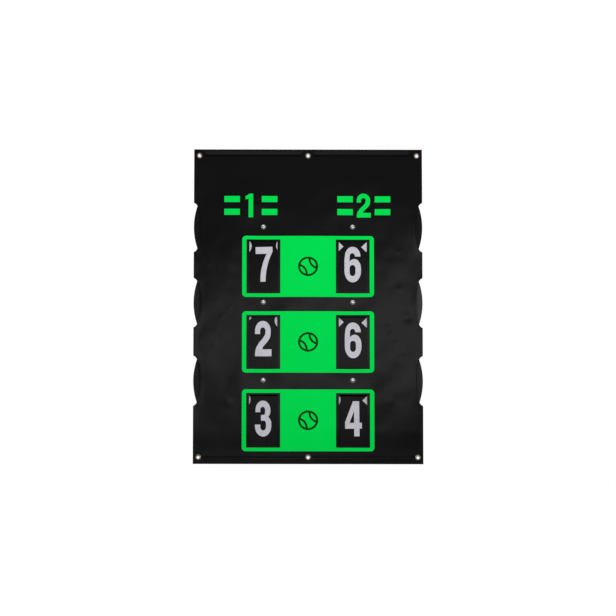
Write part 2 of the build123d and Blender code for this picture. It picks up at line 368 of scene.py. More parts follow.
class Numerals:
    """Bold narrow numerals 0 to 7 of this board's own, 43 mm wide and 93 mm tall.

    Each is one or two closed loops: stems 14 mm wide and bars 17 mm high, with elliptical
    turns that reach a little over the flat ones above and below.
    """

    WIDTH = 43.0
    HEIGHT = 93.0
    LOOPS = (
        # 0: a tall ring
        [joined(arc((0, 66), (21.5, 28.2), 0, 180), arc((0, 27), (21.5, 28.2), 180, 360)),
         joined(arc((0, 67), (7.5, 10), 0, 180), arc((0, 26), (7.5, 10), 180, 360))],
        # 1: a stem with a short flag
        [corner((-6.8, 0), (7, 0), (7, 93), (-3, 93), (-16, 82.5), (-16, 69.5), (-6.8, 74.5))],
        # 2: a hook, a sweeping diagonal and a foot
        [joined(
            corner((-21.3, 59.2)), arc((-1, 68), (20.3, 26.2), 180, 0),
            through((19.3, 68), (19, 60), (17.7, 52), (15.4, 46), (12.3, 41), (8.5, 36),
                    (3.5, 30), (-1, 24.5), (-2.5, 18.5)),
            corner((21.2, 18.5), (21.2, 0), (-21.3, 0)),
            through((-21.3, 3), (-20.8, 10), (-19.2, 20), (-17.2, 25), (-14.4, 30),
                    (-10.9, 36), (-7, 41), (-2.5, 46), (1.4, 52), (4.6, 58), (6, 68)),
            arc((-1.1, 68), (7.1, 8.8), 0, 180), corner((-8.2, 59.2)))],
        # 3: two bowls open to the left
        [joined(
            corner((-19.7, 63.4)), arc((-0.5, 69), (19.2, 25.2), 180, 0),
            through((18.7, 69), (18.2, 61), (16.3, 56), (13.7, 51.5), (16, 48), (18.7, 43.5),
                    (20.6, 38.5), (21.1, 33), (21.1, 27)),
            arc((0, 27), (21.1, 28.2), 0, -180), corner((-21.1, 30.6), (-7.3, 30.6)),
            arc((0.1, 25), (7.4, 10), 180, 360),
            through((7.5, 25), (7.5, 33), (6.4, 38), (3, 40.6), (-5.6, 41)),
            through((-5.6, 56), (1.5, 56.6), (4.5, 59.5), (5.2, 69)),
            arc((-1.1, 69), (6.3, 8.7), 0, 180), corner((-7.4, 63.4)))],
        # 4: a stem, a bar and a diagonal round a triangle
        [corner((1.7, 0), (15.4, 0), (15.4, 20.4), (21.6, 20.4), (21.6, 35.9), (15.4, 35.9),
                (15.4, 93), (-0.6, 93), (-21.5, 38), (-21.5, 20.4), (1.7, 20.4)),
         corner((1.7, 35.9), (-10, 35.9), (1.7, 67))],
        # 5: a flag over a bowl open to the left
        [joined(
            corner((-19.5, 93), (19.2, 93), (19.2, 76), (-6.6, 76)),
            bend((-6.6, 58.5), (-3, 61.5), (2, 63.3), (7, 63.3)),
            bend((7, 63.3), (16.5, 63.3), (21.3, 55), (21.3, 42)),
            arc((0, 27), (21.3, 28.2), 0, -180), corner((-21.3, 31), (-7.4, 31)),
            arc((0, 25), (7.4, 10), 180, 360), bend((7.4, 41), (7.4, 47), (5, 50.5), (0.5, 50.5)),
            bend((0.5, 50.5), (-3.8, 50.5), (-6.6, 48.5), (-6.6, 45)), corner((-20.4, 45)))],
        # 6: a hook over a closed bowl
        [joined(
            corner((19.8, 68)), arc((-0.2, 69), (20.1, 25.2), 0, 180),
            through((-20.3, 69), (-21.1, 63), (-21.5, 54), (-21.5, 29)),
            arc((0, 29), (21.5, 30.2), 180, 360),
            through((21.5, 29), (21.4, 37), (20.6, 43), (19.2, 48.5), (16.5, 53.5), (12.3, 58.7),
                    (6, 61.4), (0, 60.8), (-4.5, 58.4), (-8.1, 54.6)),
            arc((-1.1, 68), (7, 9), 180, 0)),
         joined(arc((-0.5, 36.5), (7.6, 8.8), 0, 180), arc((-0.5, 25), (7.6, 9.4), 180, 360))],
        # 7: a bar over a leaning stem
        [joined(
            corner((-21.9, 93), (21.9, 93)),
            through((21.9, 80.5), (17.3, 70), (12.7, 59.5), (9.3, 48.6), (6.6, 37.7), (4.4, 27),
                    (2.9, 16), (1.9, 0)),
            through((-11.5, 0), (-10.8, 16), (-9.4, 27), (-7.1, 37.7), (-4.1, 48.6),
                    (-0.4, 59.5), (4.3, 70), (6.6, 74.7)),
            corner((-21.9, 74.7)))])

    @classmethod
    @lru_cache(maxsize=8)
    def film(cls, number: int, thickness: float) -> tuple[Array, Array]:
        """Make a numeral cut from film, filled by a flat curve.

        Args:
            number: 0 to 7.
            thickness: of the film, in millimetres.

        Returns:
            Points with the numeral's width, height and thickness on the three axes, and
            the triangles between them.
        """
        curve = bpy.data.curves.new("numeral", "CURVE")
        curve.dimensions, curve.fill_mode, curve.extrude = "2D", "BOTH", thickness / 2
        for loop in cls.LOOPS[number]:
            spline = curve.splines.new("POLY")
            spline.points.add(len(loop) - 1)
            flat = np.column_stack((loop, np.zeros(len(loop)), np.ones(len(loop))))
            spline.points.foreach_set("co", flat.ravel())
            spline.use_cyclic_u = True
        holder = put("numeral", curve)
        mesh = bpy.data.meshes.new_from_object(
            holder.evaluated_get(bpy.context.evaluated_depsgraph_get()))
        mesh.calc_loop_triangles()
        points = np.zeros((len(mesh.vertices), 3), np.float32)
        triangles = np.zeros((len(mesh.loop_triangles), 3), np.int32)
        mesh.vertices.foreach_get("co", points.ravel())
        mesh.loop_triangles.foreach_get("vertices", triangles.ravel())
        bpy.data.objects.remove(holder)
        bpy.data.curves.remove(curve)
        bpy.data.meshes.remove(mesh)
        return points.astype(float), triangles


# ---- Materials ----


def linear(colour: str) -> tuple[float, ...]:
    """Turn an sRGB hex colour into linear red, green, blue and alpha."""
    parts = (int(colour[i:i + 2], 16) / 255 for i in (1, 3, 5))
    return (*(p / 12.92 if p <= 0.04045 else ((p + 0.055) / 1.055) ** 2.4 for p in parts), 1.0)


@dataclass(frozen=True)
class Bench:
    """A node tree at work, with methods that add a node and return its output."""

    tree: bpy.types.NodeTree

    @property
    def shader(self) -> bpy.types.Node:
        """The tree's Principled shader."""
        return self.tree.nodes["Principled BSDF"]

    def add(self, kind: str, output: str | int, inputs: dict[str | int, object] | None = None,
            **settings: object) -> Socket:
        """Add a node of any kind.

        Args:
            kind: its type, less the word that all types start with.
            output: which output to return, by name or number.
            inputs: a value or a socket for its inputs, by name or number.
            settings: its properties.

        Returns:
            The output.
        """
        node = self.tree.nodes.new("ShaderNode" + kind)
        for name, value in settings.items():
            setattr(node, name, value)
        for name, value in (inputs or {}).items():
            if isinstance(value, Socket):
                self.tree.links.new(value, node.inputs[name])
            else:
                node.inputs[name].default_value = value
        return node.outputs[output]

    def place(self) -> Socket:
        """Give a point's place on its object."""
        return self.add("TexCoord", "Object")

    def noise(self, place: Socket, grain: float, detail: float = 2.0,
              roughness: float = 0.5) -> Socket:
        """Make noise, 0 to 1, with grains of a size in millimetres."""
        return self.add("TexNoise", "Fac", {"Vector": place, "Scale": 1 / (grain * METRE),
                                            "Detail": detail, "Roughness": roughness})

    def waves(self, place: Socket, spacing: float, form: dict[str, float],
              **settings: str) -> Socket:
        """Make waves, 0 to 1, a spacing in millimetres apart: the scale is 2 pi over 20
        times the spacing."""
        scale = 2 * pi / (20 * spacing * METRE)
        return self.add("TexWave", "Fac", {"Vector": place, "Scale": scale} | form, **settings)

    def maths(self, operation: str, first: Socket, second: Socket | float = 0.0) -> Socket:
        """Work out an operation on two values."""
        return self.add("Math", "Value", {0: first, 1: second}, operation=operation)

    def ramp(self, value: Socket, low: float = 0.0, high: float = 1.0, start: float = 0.0,
             end: float = 1.0) -> Socket:
        """Bring a value from between low and high to between start and end."""
        return self.add("MapRange", "Result", {"Value": value, "From Min": low, "From Max": high,
                                               "To Min": start, "To Max": end})

    def mix(self, share: Socket, first: object, second: object) -> Socket:
        """Mix two colours, by the share of the second."""
        return self.add("Mix", 2, {0: share, 6: first, 7: second}, data_type="RGBA")

    def feed(self, name: str, socket: Socket) -> Socket:
        """Feed one of the shader's inputs from a socket, and return the socket."""
        self.tree.links.new(socket, self.shader.inputs[name])
        return socket

    def fed(self, name: str) -> Socket:
        """Find the socket that feeds one of the shader's inputs."""
        return self.shader.inputs[name].links[0].from_socket

    def emboss(self, height: Socket, depth: float, under: Socket | None = None) -> Socket:
        """Add relief to the shader.

        Args:
            height: the relief's pattern, 0 to 1.
            depth: in millimetres.
            under: a normal that this relief lies on.

        Returns:
            The new normal.
        """
        inputs = {"Height": height, "Strength": 1.0, "Distance": depth * METRE}
        on = {"Normal": under} if under else {}
        return self.feed("Normal", self.add("Bump", "Normal", inputs | on))


@dataclass(frozen=True)
class Finish:
    """A finish whose colour varies in patches, and its gloss and relief in grains.

    Fields: name; main colour and the one that it varies towards; roughness at its
    smoothest and dullest; metallic; specular level, 0.5 for an index of 1.5; depth of the
    relief; size and detail of the patches and of the grains.
    """

    name: str
    colour: str
    worn: str
    smooth: float
    dull: float
    metallic: float = 0.0
    specular: float = 0.5
    relief: float = 0.01
    patch: Point = (5.0, 2.0)
    grain: Point = (0.4, 2.0)

    @lru_cache(maxsize=None)
    def material(self) -> bpy.types.Material:
        """Build the material once: a Principled shader with the finish's own detail.

        Returns:
            The material.
        """
        made = bpy.data.materials.new(self.name)
        made.use_nodes = True
        bench = Bench(made.node_tree)
        bench.shader.inputs["Metallic"].default_value = self.metallic
        bench.shader.inputs["Specular IOR Level"].default_value = self.specular
        self.dress(bench)
        made.diffuse_color = linear(self.colour)
        return made

    def dress(self, bench: Bench) -> None:
        """Add the patches and the grains.

        Args:
            bench: the material's tree.
        """
        place = bench.place()
        grains = bench.noise(place, *self.grain)
        self.vary(bench, bench.noise(place, *self.patch), grains)
        bench.emboss(grains, self.relief)

    def vary(self, bench: Bench, colour_by: Socket, gloss_by: Socket) -> None:
        """Let one pattern move the colour and one the roughness.

        Args:
            bench: the material's tree.
            colour_by: 0 to 1, from the main colour to the worn one.
            gloss_by: 0 to 1, from the smoothest to the dullest.
        """
        bench.feed("Base Color", bench.mix(colour_by, linear(self.colour), linear(self.worn)))
        bench.feed("Roughness", bench.ramp(gloss_by, start=self.smooth, end=self.dull))


@dataclass(frozen=True)
class CoatedTarpaulin(Finish):
    """Black PVC-coated polyester, knife-coated and lacquered.

    The threads show as a faint plain weave, and folds and handling have made the satin
    lacquer uneven. The bar that welded the hems left a dull line near each end.

    Fields: spacing of the threads; size, detail and roughness of the dents' noise, and
    their depth; the same three for handling; the weld line's distance from the middle,
    width and roughness, and the shares of half its width over which it fades.
    """

    thread: float = 1.8  # real threads are 1.1 mm apart; drawn coarser so that they show
    dent: Triple = (36.0, 3.0, 0.45)
    dent_depth: float = 0.2
    handling: Triple = (120.0, 5.0, 0.6)
    weld_at: float = 402.5
    weld_width: float = 4.0
    weld_dull: float = 0.9
    weld_fade: Point = (0.6, 1.2)

    def dress(self, bench: Bench) -> None:
        """Weave along the cloth's own map, over dents, with handling and the weld lines.

        Args:
            bench: the material's tree.
        """
        cloth = bench.add("UVMap", "UV", uv_map=CLOTH_MAP)
        threads = [bench.waves(cloth, self.thread, {"Distortion": 0.4, "Detail": 1.0},
                               bands_direction=way) for way in "XY"]
        handling = bench.noise(cloth, *self.handling)
        self.vary(bench, handling, handling)
        weld = self.weld_line(bench)
        bench.feed("Roughness", bench.maths("MAXIMUM", bench.fed("Roughness"), weld))
        dented = bench.emboss(bench.noise(cloth, *self.dent), self.dent_depth)
        bench.emboss(bench.maths("MAXIMUM", *threads), self.relief, dented)

    def weld_line(self, bench: Bench) -> Socket:
        """Work out the roughness of the weld lines, which is nought away from them.

        Args:
            bench: the material's tree.

        Returns:
            The roughness.
        """
        height = bench.maths("ABSOLUTE", bench.add("SeparateXYZ", "Z", {0: bench.place()}))
        away = bench.maths("ABSOLUTE", bench.maths("SUBTRACT", height, self.weld_at * METRE))
        full, gone = (share * (self.weld_width * METRE / 2) for share in self.weld_fade)
        return bench.ramp(away, full, gone, self.weld_dull, 0.0)


@dataclass(frozen=True)
class PrintedFilm(Finish):
    """Calendered vinyl film with a matt laminate: a strong colour, a little denser in
    places, and a dry surface with a fine orange peel."""

    patch: Point = (90.0, 4.0)
    grain: Point = (1.4, 2.0)


@dataclass(frozen=True)
class DiscPlastic(Finish):
    """Black polypropylene sheet, extruded and die-cut.

    A fine haircell grain, faint rings round the pivot where it has rubbed against its
    neighbours, and a greyer rim at both sides: a painted sheen for the light that the rims
    catch where they show in the scoops.

    Fields: X and Z of the disc's centre; the colour of the rim's painted sheen, and how far
    from the centre it starts and is full; spacing of the rings.
    """

    centre: Point = (0.0, 0.0)
    # Colour of the rim's painted sheen, lighter than the disc, for the light that its rims catch.
    rim_sheen: str = "#0e0e10"
    rim_sheen_from: Point = (162.0, 170.0)
    grain: Point = (0.9, 2.0)
    ring: float = 7.0

    def dress(self, bench: Bench) -> None:
        """Add haircell grain, rub marks as rings about the disc's centre, and painted rim sheen.

        Args:
            bench: the material's tree.
        """
        place = bench.place()
        offset = (-self.centre[0] * METRE, 0, -self.centre[1] * METRE)
        at_centre = bench.add("Mapping", "Vector", {"Vector": place, "Location": offset})
        rings = bench.waves(at_centre, self.ring,
                            {"Distortion": 2.5, "Detail": 3.0, "Detail Scale": 6.0},
                            wave_type="RINGS", rings_direction="Y")
        grains = bench.noise(place, *self.grain)
        self.vary(bench, grains, rings)
        across = bench.maths("ABSOLUTE", bench.add("SeparateXYZ", "X", {0: at_centre}))
        start, full = (away * METRE for away in self.rim_sheen_from)
        # Painted sheen: the colour turns lighter towards both sides, for the light that the rims
        # catch in the scoops.
        plain, rim = bench.fed("Base Color"), bench.ramp(across, start, full)
        bench.feed("Base Color", bench.mix(rim, plain, linear(self.rim_sheen)))
        bench.emboss(grains, self.relief)


@dataclass(frozen=True)
class PlatedMetal(Finish):
    """Metal turned or pressed and then barrel-plated: bright, with soft tool marks and a
    thin bloom of tarnish."""

    patch: Point = (3.0, 4.0)
    grain: Point = (0.35, 3.0)


@dataclass(frozen=True)
class MouldedNylon(Finish):
    """Natural nylon, moulded: milky, slightly waxy, with a fine matt from the mould."""


@dataclass(frozen=True)
class ScreenPrint(Finish):
    """Screen-printed ink: dry and slightly grainy, with pinholes and thinner patches.

    Fields: between which values of its patches times its grains the ink thins out.
    """

    patch: Point = (9.0, 3.0)
    grain: Point = (1.6, 2.0)
    thins: Point = (0.15, 0.45)

    def dress(self, bench: Bench) -> None:
        """Add grain from the mesh of the screen, over patches of thinner ink.

        Args:
            bench: the material's tree.
        """
        place = bench.place()
        grains = bench.noise(place, *self.grain)
        both = bench.maths("MULTIPLY", grains, bench.noise(place, *self.patch))
        self.vary(bench, bench.ramp(both, *self.thins), grains)
        bench.emboss(grains, self.relief)


TARPAULIN = CoatedTarpaulin("coated_tarpaulin_black", "#050505", "#080808", 0.24, 0.29,
                            specular=0.037, relief=0.012)
GREEN_FILM = PrintedFilm("vinyl_film_green", "#00d24d", "#00ca48", 0.50, 0.65,
                         specular=0.01, relief=0.01)
SIGN_INK = ScreenPrint("screen_print_dark_green", "#012e0c", "#033a12", 0.55, 0.70,
                       specular=0.02, relief=0.005)
NUMBER_INK = ScreenPrint("screen_print_pale_grey", "#bdbcc4", "#abaab3", 0.50, 0.65,
                         specular=0.12, relief=0.008)
BRASS = PlatedMetal("rolled_brass", "#6f675d", "#4e4841", 0.25, 0.42, metallic=1.0,
                    relief=0.003)
NICKEL = PlatedMetal("nickel_plated_steel", "#8e8d90", "#6c6b6e", 0.26, 0.42, metallic=1.0,
                     relief=0.002)
NYLON = MouldedNylon("moulded_nylon", "#e4dfd0", "#d8d2c0", 0.40, 0.55, relief=0.01)


# ---- The board's layout ----


class Labelled(Enum):
    """A choice with a name in the frame."""

    @property
    def label(self) -> str:
        """The name in the frame."""
        return self.name.lower()


class Row(Labelled):
    """The three rows of discs, by their place from the top."""

    TOP = 0
    MIDDLE = 1
    BOTTOM = 2


class Side(Labelled):
    """The two sides of the board, as signs of X."""

    LEFT = -1
    RIGHT = 1


@dataclass(frozen=True)
class Layout:
    """Places that the pieces share, in millimetres, as in the frame.

    Fields: half the board's width and height; sheet thickness; the pivots' X, the top
    ones' Z, the rows' pitch and how much higher the middle row sits; window width, and
    how far its ends lie below the pivot; how far a panel's cut-out stays clear of a
    window at its sides and ends; the eyelets' places; the hem's weld from the board's
    edge; depth and half chord of a thumb scoop; spacing of the sheets' grid, by a pivot or
    an eyelet, at the side edges up to the eyelets and beyond, and in the hems' plies; how
    near a pivot or an eyelet it is closer, and from which X and Z outwards.
    """

    half_width: float = 297.0
    half_height: float = 420.5
    sheet: float = 0.8
    pivot_x: float = 116.0
    top_pivot_z: float = 210.5
    row_pitch: float = 205.0
    middle_lift: float = 3.0
    window_width: float = 73.0
    window_top: float = 38.0
    window_bottom: float = 173.58
    reveal: Point = (7.5, 4.5)
    eyelet_x: float = 283.0
    eyelet_z: float = 403.0
    weld: float = 18.0
    scoop: Point = (19.0, 67.5)
    pitch: float = 3.8
    close: float = 3.0
    sides: Point = (2.1, 2.0)
    plies: float = 3.4
    near: float = 9.0
    close_x: float = 258.0
    close_z: float = 389.0

    @property
    def scoop_area(self) -> float:
        """Area of one scoop, which is half an ellipse."""
        return pi * self.scoop[0] * self.scoop[1] / 2

    @property
    def window_half(self) -> Point:
        """Half width and height of a window."""
        return self.window_width / 2, (self.window_bottom - self.window_top) / 2

    @property
    def cutout_half(self) -> Point:
        """Half width and height of a panel's cut-out."""
        return self.window_half[0] + self.reveal[0], self.window_half[1] + self.reveal[1]

    @property
    def panel_half(self) -> Point:
        """Half width and height of a green panel, from its node's box."""
        low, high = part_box("score_panel_top")
        return (high.x - low.x) / 2 / METRE, (high.z - low.z) / 2 / METRE

    def pivot_z(self, row: Row) -> float:
        """Z of a row's pivots."""
        lift = self.middle_lift if row is Row.MIDDLE else 0.0
        return self.top_pivot_z - row.value * self.row_pitch + lift

    def window_z(self, row: Row) -> float:
        """Z of the middle of a row's windows."""
        return self.pivot_z(row) - (self.window_top + self.window_bottom) / 2

    def pivots(self) -> list[Point]:
        """X and Z of the six pivots."""
        return [(side.value * self.pivot_x, self.pivot_z(row)) for row in Row for side in Side]

    def eyelets(self) -> list[Point]:
        """X and Z of the six eyelets, the upper three first."""
        return [(x, z) for z in (self.eyelet_z, -self.eyelet_z)
                for x in (-self.eyelet_x, 0.0, self.eyelet_x)]

    def board_distance(self, x: Array, z: Array, height: float) -> Array:
        """Signed distance to a sheet's outline: a rectangle, less six scoops.

        Args:
            x, z: the points' places.
            height: half of the sheet's.

        Returns:
            The distances.
        """
        scoops = (-ellipse_distance(np.abs(x), z, (self.half_width, self.pivot_z(row)), self.scoop)
                  for row in Row)
        return np.maximum.reduce((box_distance(x, z, (0, 0), (self.half_width, height)), *scoops))

    def below_pivots(self, x: Array, z: Array, half: Point) -> Array:
        """Signed distance to rectangles of a half size, at the windows' places."""
        return np.minimum.reduce([box_distance(np.abs(x), z, (self.pivot_x, self.window_z(row)),
                                               half) for row in Row])

    def x_lines(self) -> Array:
        """Space a sheet's grid lines across, closer at the pivots and the side edges.

        Returns:
            Their X, with the windows' sides among them.
        """
        pivot, near, window = self.pivot_x, self.near, self.window_width / 2
        pitch, close = self.pitch, self.close
        return mirrored(lines(
            0, (near, close), (pivot - window, pitch), (pivot - near, pitch),
            (pivot + near, close), (pivot + window, pitch), (self.close_x, pitch),
            (self.eyelet_x, self.sides[0]), (self.half_width, self.sides[1])))

    def z_lines(self) -> Array:
        """Space a sheet's grid lines up its front, closer at the pivots.

        Returns:
            Their Z, with the windows' ends among them.
        """
        near, pitch, above = self.near, self.pitch, self.pivot_z(Row.TOP) + self.near + 1
        parts = [lines(above, (self.close_z, pitch))]
        for row in Row:
            pivot = self.pivot_z(row)
            bottom = pivot - self.window_bottom
            parts.append(lines(bottom, (pivot - self.window_top, pitch), (pivot - near, pitch),
                               (pivot + near, self.close), (above, pitch)))
            above = bottom
        return merged(lines(-self.close_z, (above, self.close)), *parts)


BOARD = Layout()


@dataclass(frozen=True)
class Drape:
    """How far the two sheets stand off outwards from their flat shape, in millimetres.

    The discs run 0.4 mm behind the sheets, so a sheet never goes inwards. It is held at
    the posts, the eyelets and the hems, swells gently between them, flutters a little
    more along its free side edges, and curls forward at the very edge.

    Fields: lift of the swell, the flutter, the creases, the curl, and the top and bottom
    hems; Z beyond which the hems hold a sheet, how near a post or an eyelet does, and over
    what way it then comes free; lengths of the swell's crossed and slanted waves, and
    their shifts; where the flutter starts, over what width it grows, its length and
    shift; the curl's width, length and shift, and where it ends in Z and over what height;
    the creases' number, and least and greatest length; as shares of its depth, where a hem
    starts to rise, and over what it rises and drops; the way over which it rises beside an
    eyelet; X, Z, radius and height of each dint; the back sheet's shifts, and each sheet's
    seed.
    """

    swell_lift: float = 2.4
    flutter_lift: float = 1.8
    crease_lift: float = 0.8
    curl_lift: float = 1.0
    hem_lift: Point = (2.3, 0.4)
    held_z: float = 388.0
    held_near: float = 8.0
    free_over: float = 60.0
    crossed: Point = (410.0, 530.0)
    slanted: Point = (230.0, 610.0)
    shifts: Point = (0.31, 0.4)
    side: tuple[float, ...] = (215.0, 82.0, 236.0, 0.23)
    edge: Triple = (14.0, 190.0, 0.3)
    edge_end: Point = (398.0, 12.0)
    crease_count: int = 26
    crease_span: Point = (30.0, 120.0)
    hem_shares: Triple = (0.08, 0.9, 0.16)
    beside_eyelet: float = 14.0
    dinted: tuple[tuple[float, ...], ...] = (
        (235, 145, 8, 0.45), (237, 45, 8, 0.5), (257, -31, 13, 1.1), (206, -62, 11, 0.75),
        (223, -88, 9, 0.65), (243, -125, 8, 0.4), (213, -254, 9, 0.4), (-256, 112, 8, 0.3),
        (-204, -8, 7, 0.3), (-224, -29, 8, 0.35), (-222, -81, 8, 0.4), (-245, -102, 8, 0.5),
        (-206, -259, 9, 0.6))
    back_shifts: Point = (0.37, 0.45)
    seeds: tuple[int, int] = (3, 8)

    def free(self, x: Array, z: Array) -> Array:
        """How free the sheet is, away from what holds it.

        Args:
            x, z: the points' places.

        Returns:
            0 at the hems and posts, and 1 where it is free.
        """
        free = smooth((self.held_z - np.abs(z)) / self.free_over)
        for px, pz in BOARD.pivots():
            away = np.hypot(x - px, z - pz) - self.held_near
            free = free * smooth(away / self.free_over)
        return free

    def swell(self, x: Array, z: Array, turn: float) -> Array:
        """Broad waves: a half, plus a quarter of each of two crossed patterns of sines.

        Args:
            x, z: the points' places.
            turn: shift of the waves, as a share of one.

        Returns:
            Values from 0 to 1.
        """
        along, up = x / self.crossed[0] + turn, z / self.crossed[1] + self.shifts[0] + turn
        slant = x / self.slanted[0] - z / self.slanted[1] + self.shifts[1] - turn
        crossed = np.sin(2 * pi * along) * np.sin(2 * pi * up)
        return 0.5 + 0.25 * crossed + 0.25 * np.sin(2 * pi * slant)

    def flutter(self, x: Array, z: Array, turn: float) -> Array:
        """Waves along the side edges.

        Args:
            x, z: the points' places.
            turn: shift of the waves, as a share of one.

        Returns:
            0 towards the middle, and up to 1 at the edges.
        """
        start, width, length, shift = self.side
        waves = 0.5 + 0.5 * np.sin(2 * pi * (z / length + (shift * np.sign(x) + turn)))
        return smooth((np.abs(x) - start) / width) * waves

    def curl(self, x: Array, z: Array) -> Array:
        """Forward curl along the side edges and the scoops, uneven by a slow wave.

        Args:
            x, z: the points' places.

        Returns:
            0 away from the edges, and up to 1 at them.
        """
        width, length, shift = self.edge
        from_edge = -BOARD.board_distance(x, z, 2 * BOARD.half_height)
        waves = 0.6 + 0.4 * np.sin(2 * pi * (z / length + shift * np.sign(x)))
        ends = smooth((self.edge_end[0] - np.abs(z)) / self.edge_end[1])
        return waves * (1 - smooth(from_edge / width)) * ends

    def dints(self, x: Array, z: Array) -> Array:
        """Small dints from handling: each height * exp(-(distance / radius)^2) high."""
        return sum(height * np.exp(-((x - dx) ** 2 + (z - dz) ** 2) / radius ** 2)
                   for dx, dz, radius, height in self.dinted)

    def creases(self, x: Array, z: Array, seed: int) -> Array:
        """Shallow dents left by rolling and packing.

        Formula: a sum of plane waves in random directions and phases, each as high as it
        is long, brought to between 0 and 1.

        Args:
            x, z: the points' places.
            seed: for the waves' lengths, directions and phases.

        Returns:
            Values from 0 to 1.
        """
        draw = np.random.default_rng(seed)
        length = draw.uniform(*self.crease_span, self.crease_count)
        way = draw.uniform(0, pi, self.crease_count)
        phase = draw.uniform(0, 2 * pi, self.crease_count)
        total = sum(span * np.sin(2 * pi * (x * cos(turn) + z * sin(turn)) / span + start)
                    for span, turn, start in zip(length, way, phase))
        return np.clip(0.5 + total / (5 * np.sqrt((length ** 2).sum() / 2)), 0, 1)

    def hem(self, x: Array, z: Array) -> Array:
        """Puff of the hems: rises from the folded edge, and drops at the weld and eyelets.

        Args:
            x, z: the points' places.

        Returns:
            The lift in millimetres.
        """
        depth = (BOARD.half_height - np.abs(z)) / BOARD.weld
        start, rise, drop = self.hem_shares
        puff = smooth((depth - start) / rise) * smooth((1.0 - depth) / drop)
        for ex, ez in BOARD.eyelets():
            away = np.hypot(x - ex, z - ez) - self.held_near
            puff = puff * smooth(away / self.beside_eyelet)
        return np.where(z > 0, *self.hem_lift) * puff

    def waves(self, x: Array, z: Array, turns: Point, seed: int) -> Array:
        """Lift by swell, flutter and creases, the first two shifted by turns."""
        return (self.swell_lift * self.swell(x, z, turns[0]) + self.flutter_lift
                * self.flutter(x, z, turns[1]) + self.crease_lift * self.creases(x, z, seed))

    def front(self, x: Array, z: Array) -> Array:
        """Lift of the front sheet."""
        waves = self.waves(x, z, (0.0, 0.0), self.seeds[0]) + self.dints(x, z)
        return self.free(x, z) * waves + self.hem(x, z) + self.curl_lift * self.curl(x, z)

    def back(self, x: Array, z: Array) -> Array:
        """Lift of the back sheet."""
        return self.free(x, z) * self.waves(x, z, self.back_shifts, self.seeds[1])


DRAPE = Drape()


# ---- Sub-assemblies ----


def give(piece: bpy.types.Object, finish: Finish) -> bpy.types.Object:
    """Give a new piece its finish."""
    piece.data.materials.append(finish.material())
    return piece


@dataclass(frozen=True)
class HungSheet:
    """What both sheets share: each is cut flat along its outline, and then placed.

    Fields: radii of the holes round the posts and under the eyelets.
    """

    post_hole: float = 3.9
    eyelet_hole: float = 5.2

    def distance(self, x: Array, v: Array) -> Array:
        """Signed distance to the flat cut's outline, which each sheet has of its own."""
        raise NotImplementedError

    def placed(self, x: Array, v: Array) -> Array:
        """Points where places on the flat cut hang, which each sheet has of its own."""
        raise NotImplementedError

    def hang(self, name: str, edge: Array, foot: float, length: float, openings: float,
             rests_on: list[str]) -> None:
        """Args:
            name: front or back.
            edge: grid lines above the middle, beyond those of the rows.
            foot: how far the cloth's map starts below the middle.
            length: of the flat sheet; not used.
            openings: area of its windows and scoops; not used.
            rests_on: what carries it; not used.
        """
        cut = cut_grid(BOARD.x_lines(), merged(-edge, BOARD.z_lines(), edge), self.distance)
        points, quads = thickened(self.placed(cut.u, cut.v), cut.quads, BOARD.sheet)
        flat = np.tile(np.stack((cut.u, cut.v), axis=1), (2, 1))
        uv = (flat + (BOARD.half_width, foot)) * METRE
        sheet = give(mesh_object(f"{name}_tarpaulin", points, quads, uv), TARPAULIN)
        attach(sheet, "board")
        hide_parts(f"{name}_sheet")


